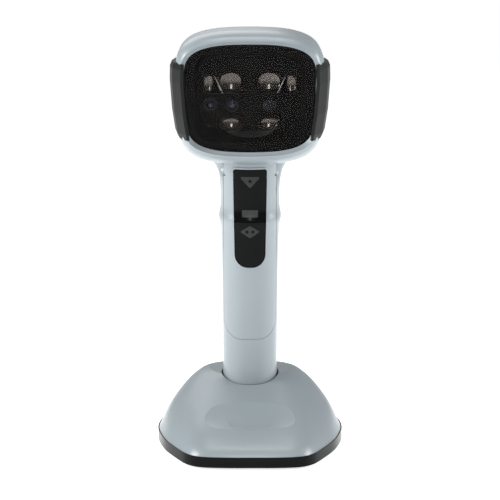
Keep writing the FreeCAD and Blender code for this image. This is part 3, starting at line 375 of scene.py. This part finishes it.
def roundedOutline(corners, radius, steps=4):  # a convex outline, anticlockwise, with arcs at its corners
    outline = []
    for index, corner in enumerate(corners):
        here = Vector(corner)
        before = (Vector(corners[index - 1]) - here).normalized()
        after = (Vector(corners[(index + 1) % len(corners)]) - here).normalized()
        halfAngle = before.angle(after) / 2
        centre = here + (before + after).normalized() * (radius / math.sin(halfAngle))
        first = here + before * (radius / math.tan(halfAngle)) - centre
        turn = math.pi - 2 * halfAngle
        for step in range(steps + 1):
            swing = turn * step / steps
            outline.append(centre + Vector((first.x * math.cos(swing) - first.y * math.sin(swing),
                                            first.x * math.sin(swing) + first.y * math.cos(swing))))
    return outline


markSettings = {
    "startDepth": -30 * mm,       # in front of the handle, before it is laid on the key
    "gridStep": 0.45 * mm,
    "cornerRadius": 0.7 * mm,
    "printThick": 0.12 * mm,      # half of it stands proud
    "dotThick": 0.22 * mm,
    "dotRadius": 0.85 * mm,
    "triangleWidth": 11.3 * mm,
    "triangleTall": 6.0 * mm,
    "triangleDrop": 3.6 * mm,     # below the trigger's top edge
    "dotShare": 0.38,             # how far down the triangle its dot sits
    "diamondWidth": 10.3 * mm,
    "diamondTall": 7.0 * mm,
    "diamondDrop": 1.7 * mm,      # below the mode button's top edge
    "diamondDotSide": 1.5 * mm,
}


def layOn(piece, target, thick):  # press a flat print onto the front of a node, and give it thickness
    lean(piece)
    applied(piece, "SHRINKWRAP", target=nodes[target], wrap_method="PROJECT", use_project_x=False,
            use_project_y=True, use_project_z=False, use_positive_direction=True,
            use_negative_direction=False)
    applied(piece, "SOLIDIFY", thickness=thick, offset=0.0)


def printOutline(name, target, corners, body):
    s = markSettings
    outline = roundedOutline(corners, s["cornerRadius"])
    middle = sum((Vector(corner) for corner in corners), Vector((0.0, 0.0))) / len(corners)
    reach = max((Vector(corner) - middle).length for corner in corners)
    piece = startPiece(name, bpy.ops.mesh.primitive_grid_add, x_subdivisions=int(2 * reach / s["gridStep"]),
                       y_subdivisions=int(2 * reach / s["gridStep"]), size=2 * reach,
                       location=(middle.x, s["startDepth"], middle.y), rotation=(math.radians(90), 0.0, 0.0))
    bpy.ops.object.mode_set(mode="EDIT")
    for index, corner in enumerate(outline):
        run = (outline[(index + 1) % len(outline)] - corner).normalized()
        bpy.ops.mesh.select_all(action="SELECT")
        bpy.ops.mesh.bisect(plane_co=(corner.x, s["startDepth"], corner.y), plane_no=(run.y, 0.0, -run.x),
                            clear_outer=True)
    bpy.ops.object.mode_set(mode="OBJECT")
    layOn(piece, target, s["printThick"])
    finishPiece(piece, painted["printedGrey"], body)


def printDot(name, target, place, body):
    s = markSettings
    piece = startPiece(name, bpy.ops.mesh.primitive_circle_add, vertices=24, radius=s["dotRadius"],
                       fill_type="TRIFAN", location=(place[0], s["startDepth"], place[1]),
                       rotation=(math.radians(90), 0.0, 0.0))
    layOn(piece, target, s["dotThick"])
    finishPiece(piece, painted["printedBlack"], body)


def makeMarks():
    s = markSettings
    top = stemSpan("scan_trigger")[1].z - s["triangleDrop"]
    half = s["triangleWidth"] / 2
    printOutline("triggerTriangle", "scan_trigger",
                 [(0.0, top - s["triangleTall"]), (half, top), (-half, top)], "trigger")
    printDot("triggerDot", "scan_trigger", (0.0, top - s["triangleTall"] * s["dotShare"]), "trigger")
    top = stemSpan("mode_button")[1].z - s["diamondDrop"]
    middle = top - s["diamondTall"] / 2
    half = s["diamondWidth"] / 2
    printOutline("buttonDiamond", "mode_button", [(0.0, top - s["diamondTall"]), (half, middle), (0.0, top),
                                                  (-half, middle)], "button")
    for name, side in (("buttonDotLeft", -1), ("buttonDotRight", 1)):
        printDot(name, "mode_button", (side * s["diamondDotSide"], middle), "button")
    print("marks laid on the trigger and the mode button")


makeMarks()

lensSettings = {
    "glassRadius": 2.25 * mm,
    "glassBulge": 0.5,
    "ringRadius": 3.7 * mm,
    "ringDepth": 1.3 * mm,
    "ringInset": 0.75 * mm,
    "eyeRadius": 2.0 * mm,
    "recess": 0.9 * mm,           # behind the front of its barrel
    "backing": 0.2 * mm,
    "middle": 0.1 * mm,           # a face this near the axis is the ring's inner one
    "ringChamfer": 0.12 * mm,
    "facing": 0.9,                # a face that looks this squarely forwards or back is an end of the ring
}


def makeLens(name, node, radius):  # the front half of a flattened ball, as a polished lens face
    low, high = stemSpan(node)
    s = lensSettings
    centre = (low + high) / 2
    front = low.y + s["recess"]
    piece = startPiece(name, bpy.ops.mesh.primitive_uv_sphere_add, segments=40, ring_count=20, radius=radius,
                       location=(centre.x, front, centre.z), scale=(1.0, s["glassBulge"], 1.0))
    bpy.ops.object.mode_set(mode="EDIT")
    bpy.ops.mesh.select_all(action="SELECT")
    bpy.ops.mesh.bisect(plane_co=(0.0, front + s["backing"], 0.0), plane_no=(0.0, 1.0, 0.0), clear_outer=True,
                        use_fill=True)
    bpy.ops.object.mode_set(mode="OBJECT")
    lean(piece)
    finishPiece(piece, painted["coatedLens"], "imager_body")


def makeLensRing(name, node):  # a stepped, chamfered ring round a lens
    low, high = stemSpan(node)
    s = lensSettings
    centre = (low + high) / 2
    piece = startPiece(name, bpy.ops.mesh.primitive_cylinder_add, vertices=56, radius=s["ringRadius"],
                       depth=s["ringDepth"], location=(centre.x, low.y, centre.z),
                       rotation=(math.radians(90), 0.0, 0.0))
    selectFaces(piece, lambda spot, normal: abs(normal.y) > s["facing"])
    bpy.ops.mesh.inset(thickness=s["ringInset"])
    bpy.ops.object.mode_set(mode="OBJECT")
    selectFaces(piece, lambda spot, normal: abs(normal.y) > s["facing"]
                and math.hypot(spot.x - centre.x, spot.z - centre.z) < s["middle"])
    bpy.ops.mesh.delete(type="FACE")
    bpy.ops.mesh.select_mode(type="EDGE")
    bpy.ops.mesh.select_all(action="DESELECT")
    bpy.ops.mesh.select_non_manifold(extend=False)
    bpy.ops.mesh.bridge_edge_loops()
    bpy.ops.object.mode_set(mode="OBJECT")
    bevelAll(piece, s["ringChamfer"], 1)
    lean(piece)
    finishPiece(piece, finishes["black_metal"], "imager_body")


trimSettings = {
    "proud": 0.2 * mm,            # how far the bars' centres stand before the reflectors
    "barRound": 0.25,             # a bar's bevel, as a share of its thickness
    "edgeThick": 0.55 * mm,
    "edgeTop": (17.6 * mm, 8.5 * mm),     # from the window's centre, across and up
    "edgeFoot": (13.7 * mm, 0.0),
    "sideThick": 1.6 * mm,
    "sideLength": 8 * mm,
    "sideRise": -17 * mm,
    "sideTilt": 1.0 * mm,
    "sideNear": 20 * mm,
    "dividerThick": 0.6 * mm,
    "dividerWidth": 31 * mm,
    "dividerRise": 1.0 * mm,
    "maskHalf": (32.2 * mm, 27.4 * mm),
    "maskRound": 14 * mm,
    "maskWidth": 4.8 * mm,
    "maskThick": 0.3 * mm,
    "maskSetBack": 0.2 * mm,      # behind the front of the window's gasket
    "rampHalf": 17.5 * mm,
    "rampTop": -19.5 * mm,
    "rampFoot": -25.4 * mm,
    "rampThick": 0.8 * mm,
    "rampSetBack": 1.5 * mm,      # behind the front of the window's gasket
    "rampFacing": 0.7,            # a face that looks this squarely backwards is the ramp's far end
    "rampTaper": 0.86,
    "rampEdge": 0.2 * mm,
}


def makeBar(name, start, finish, thick, material):  # a bevelled bar between two points
    start = Vector(start)
    run = Vector(finish) - start
    piece = startPiece(name, bpy.ops.mesh.primitive_cube_add, size=1.0, location=start + run / 2,
                       rotation=(0.0, math.atan2(run.x, run.z), 0.0), scale=(thick, thick, run.length))
    bevelAll(piece, thick * trimSettings["barRound"])
    lean(piece)
    finishPiece(piece, material, "imager_body")


def makeWindowMask(middle, depth):  # the black border printed behind the window
    s = trimSettings
    mask = startPiece("windowMask", bpy.ops.mesh.primitive_plane_add, size=2.0, location=(0.0, depth, middle),
                      rotation=(math.radians(90), 0.0, 0.0), scale=(s["maskHalf"][0], s["maskHalf"][1], 1.0))
    bpy.ops.object.mode_set(mode="EDIT")
    bpy.ops.mesh.select_all(action="SELECT")
    bpy.ops.mesh.bevel(offset=s["maskRound"], segments=16, affect="VERTICES")
    bpy.ops.object.mode_set(mode="OBJECT")
    selectFaces(mask, lambda spot, normal: True)
    bpy.ops.mesh.inset(thickness=s["maskWidth"])
    bpy.ops.mesh.delete(type="FACE")
    bpy.ops.object.mode_set(mode="OBJECT")
    applied(mask, "SOLIDIFY", thickness=s["maskThick"], offset=0.0)
    lean(mask)
    finishPiece(mask, finishes["black_plastic"], "imager_body")


reflectorSettings = {                # across, up from the window's centre, half width, half height, depth
    "upper_reflector": [(-9.3, 5.6, 7.6, 6.6, 4.4), (9.3, 5.6, 7.6, 6.6, 4.4),
                        (-20.0, 4.6, 4.2, 5.6, 3.2), (20.0, 4.6, 4.2, 5.6, 3.2)],
    "lower_reflector": [(-9.3, -14.9, 6.4, 5.4, 4.2), (9.3, -14.9, 6.4, 5.4, 4.2)],
    "edge": 0.15 * mm,
    "frontRim": 0.05 * mm,        # a face nearer than these to the tray's front, back or ends stays black
    "rim": 0.2 * mm,
    "endRim": 0.1 * mm,
}


def makeReflector(name, node, middle):  # a black tray with silvered cups sunk into its front
    s = reflectorSettings
    low, high = stemSpan(node)
    tray = startPiece(name, bpy.ops.mesh.primitive_cube_add, size=1.0, location=(low + high) / 2,
                      scale=high - low)
    bevelAll(tray, s["edge"], 1)
    for across, rise, halfWide, halfTall, deep in s[node]:
        cutter = startPiece("cupCutter", bpy.ops.mesh.primitive_uv_sphere_add, segments=72, ring_count=36,
                            radius=1.0, location=(across * mm, low.y, middle + rise * mm),
                            scale=(halfWide * mm, deep * mm, halfTall * mm))
        applied(tray, "BOOLEAN", operation="DIFFERENCE", solver="EXACT", object=cutter)
        bpy.data.objects.remove(cutter, do_unlink=True)
    silvered = [low.y + s["frontRim"] < face.center.y < high.y - s["rim"]
                and low.z + s["rim"] < face.center.z < high.z - s["rim"]
                and abs(face.center.x) < high.x - s["endRim"] for face in tray.data.polygons]
    lean(tray)
    finishPiece(tray, finishes["dark_mirror"], "imager_body")
    tray.data.materials.append(finishes["black_plastic"])
    for face, bright in zip(tray.data.polygons, silvered):
        face.material_index = 0 if bright else 1
    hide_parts(node)


def makeOpticsTrim():
    s = trimSettings
    low, high = stemSpan("window_gasket")
    middle = (low.z + high.z) / 2
    face = stemSpan("upper_reflector")[0].y - s["proud"]
    for name, side in (("Left", -1), ("Right", 1)):
        makeBar("reflectorEdge" + name, (side * s["edgeFoot"][0], face, middle + s["edgeFoot"][1]),
                (side * s["edgeTop"][0], face, middle + s["edgeTop"][1]), s["edgeThick"],
                painted["brightChrome"])
        makeBar("sideStrip" + name, (side * s["sideNear"], face, middle + s["sideRise"]),
                (side * (s["sideNear"] + s["sideLength"]), face, middle + s["sideRise"] + s["sideTilt"]),
                s["sideThick"], finishes["dark_mirror"])
    makeBar("trayDivider", (-s["dividerWidth"] / 2, face, middle + s["dividerRise"]),
            (s["dividerWidth"] / 2, face, middle + s["dividerRise"]), s["dividerThick"],
            finishes["black_plastic"])
    makeWindowMask(middle, low.y + s["maskSetBack"])
    makeReflector("upperTray", "upper_reflector", middle)
    makeReflector("lowerTray", "lower_reflector", middle)
    hoodFront = low.y + s["rampSetBack"]
    slope = math.atan2(s["rampTop"] - s["rampFoot"], face - hoodFront)
    centre = (0.0, (face + hoodFront) / 2, middle + (s["rampTop"] + s["rampFoot"]) / 2)
    ramp = startPiece("sillRamp", bpy.ops.mesh.primitive_cube_add, size=1.0, location=centre,
                      rotation=(slope, 0.0, 0.0),
                      scale=(2 * s["rampHalf"], (face - hoodFront) / math.cos(slope), s["rampThick"]))
    selectFaces(ramp, lambda spot, normal: normal.y > s["rampFacing"])
    bpy.ops.transform.resize(value=(s["rampTaper"], 1.0, 1.0))
    bpy.ops.object.mode_set(mode="OBJECT")
    bevelAll(ramp, s["rampEdge"])
    lean(ramp)
    finishPiece(ramp, painted["sillRampPlastic"], "imager_body")
    makeLens("cameraLens", "lens_barrel", lensSettings["glassRadius"])
    makeLens("sensorEye", "presence_sensor", lensSettings["eyeRadius"])
    makeLensRing("cameraLensRing", "lens_barrel")
    print("optics trim in place")


makeOpticsTrim()

contactSettings = {"count": 8, "pitch": 1.02 * mm, "width": 0.5 * mm, "length": 6.0 * mm, "thick": 0.25 * mm,
                   "setBack": 2.0 * mm, "lift": 3.75 * mm, "slopeDegrees": -7, "edge": 0.07 * mm}


def makeContacts():  # spring contacts along the floor of the cable jack's mouth
    s = contactSettings
    low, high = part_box("cable_jack")
    for index in range(s["count"]):
        across = (index - (s["count"] - 1) / 2) * s["pitch"]
        place = (across, high[1] - s["setBack"] - s["length"] / 2, low[2] + s["lift"])
        blade = startPiece(f"jackContact{index + 1}", bpy.ops.mesh.primitive_cube_add, size=1.0,
                           location=place, rotation=(math.radians(s["slopeDegrees"]), 0.0, 0.0),
                           scale=(s["width"], s["length"], s["thick"]))
        bevelAll(blade, s["edge"])
        finishPiece(blade, painted["contactGold"], "imager_body")
    print("jack contacts in place")


makeContacts()

studio = {
    "floorSize": 60.0,
    "floorRoughness": 0.7,
    "floorCloud": (300.0, 3.0),
    "floorTones": (tone(0.90, 0.905, 0.91), tone(0.93, 0.935, 0.94)),
    "floorGlow": tone(1.0, 1.0, 1.0),
    "floorGlowStrength": 0.74,
    "worldTone": tone(0.97, 0.985, 1.0),
    "worldStrength": 0.30,
    "cameraPlace": (0.0, -0.920, 0.270),
    "cameraTarget": (0.0, 0.0, 0.1025),
    "lens": 129.0,
    "sensorWidth": 36.0,
    "lampTarget": (0.0, 0.0, 0.12),
    "frontLampTall": 0.60,
    "lamps": [                                  # name, place, size, power
        ("keyLamp", (-0.80, -0.25, 0.50), 0.40, 8.0),
        ("fillLamp", (0.80, -0.05, 0.40), 0.35, 4.6),
        ("frontLamp", (0.0, -1.05, 0.62), 0.10, 3.2),
        ("topLamp", (0.0, -0.05, 1.05), 0.50, 3.0),
        ("backLamp", (-0.2, 0.8, 0.7), 0.60, 1.6),
    ],
}


def aim(thing, target):
    direction = Vector(target) - Vector(thing.location)
    thing.rotation_euler = direction.to_track_quat("-Z", "Y").to_euler()


def buildStudio():
    bpy.ops.object.select_all(action="DESELECT")
    bpy.ops.mesh.primitive_plane_add(size=studio["floorSize"], location=(0.0, 0.0, 0.0))
    floor = bpy.context.object
    floor.name = "floor"
    surface = Surface("paperFloor", {"Roughness": studio["floorRoughness"],
                                     "Emission Color": studio["floorGlow"],
                                     "Emission Strength": studio["floorGlowStrength"]})
    surface.feed("Base Color", surface.mixColour(surface.noise(*studio["floorCloud"]), *studio["floorTones"]))
    floor.data.materials.append(surface.material)
    for name, place, size, power in studio["lamps"]:
        lamp = bpy.data.lights.new(name, "AREA")
        lamp.size = size
        if name == "frontLamp":
            lamp.shape = "RECTANGLE"
            lamp.size_y = studio["frontLampTall"]
        lamp.energy = power
        holder = bpy.data.objects.new(name, lamp)
        holder.location = place
        bpy.context.scene.collection.objects.link(holder)
        aim(holder, studio["lampTarget"])
    world = bpy.data.worlds.new("studioWorld")
    world.use_nodes = True
    world.node_tree.nodes["Background"].inputs[0].default_value = studio["worldTone"]
    world.node_tree.nodes["Background"].inputs[1].default_value = studio["worldStrength"]
    bpy.context.scene.world = world
    camera = bpy.data.cameras.new("camera")
    camera.lens = studio["lens"]
    camera.sensor_width = studio["sensorWidth"]
    holder = bpy.data.objects.new("camera", camera)
    holder.location = studio["cameraPlace"]
    bpy.context.scene.collection.objects.link(holder)
    aim(holder, studio["cameraTarget"])
    bpy.context.scene.camera = holder
    bpy.context.scene.view_settings.view_transform = "Standard"
    print("studio ready")


buildStudio()
